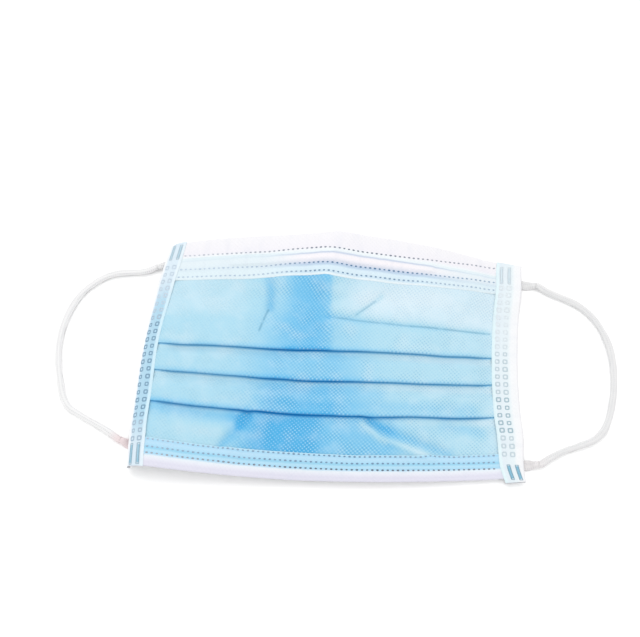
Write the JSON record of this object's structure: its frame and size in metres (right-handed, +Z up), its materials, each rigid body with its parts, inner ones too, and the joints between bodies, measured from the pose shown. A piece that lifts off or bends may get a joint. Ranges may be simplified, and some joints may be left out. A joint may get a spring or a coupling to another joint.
{
  "type": "surgical face mask",
  "caption": "Pleated disposable surgical face mask lying flat, blue outside and white inside, with a bent nose wire, folded side tapes and elastic ear loops.",
  "frame": {"origin": "on the surface that the mask lies on, under the middle of its outline without the ear loops", "axes": "+X across the mask to the viewer's right, +Y towards the nose edge, +Z up out of the blue outer side"},
  "size_m": [0.2563, 0.1136, 0.022],
  "materials": {
    "blue_nonwoven": "matt spunbond with a fine embossed dot pattern, pale blue",
    "white_nonwoven": "matt white spunbond, welded with small ring marks",
    "elastic": "soft white round elastic",
    "wire": "white plastic-covered bendable strip"
  },
  "bodies": {
    "root": {"pleated_body": "blue_nonwoven", "top_hem": "white_nonwoven", "bottom_hem": "white_nonwoven", "nose_wire": "wire", "side_tape_left": "white_nonwoven", "side_tape_right": "white_nonwoven", "loop_tab_left_top": "elastic", "loop_tab_left_bottom": "elastic", "loop_tab_right_top": "elastic", "loop_tab_right_bottom": "elastic", "ear_loop_left": "elastic", "ear_loop_right": "elastic"}
  },
  "joints": []
}
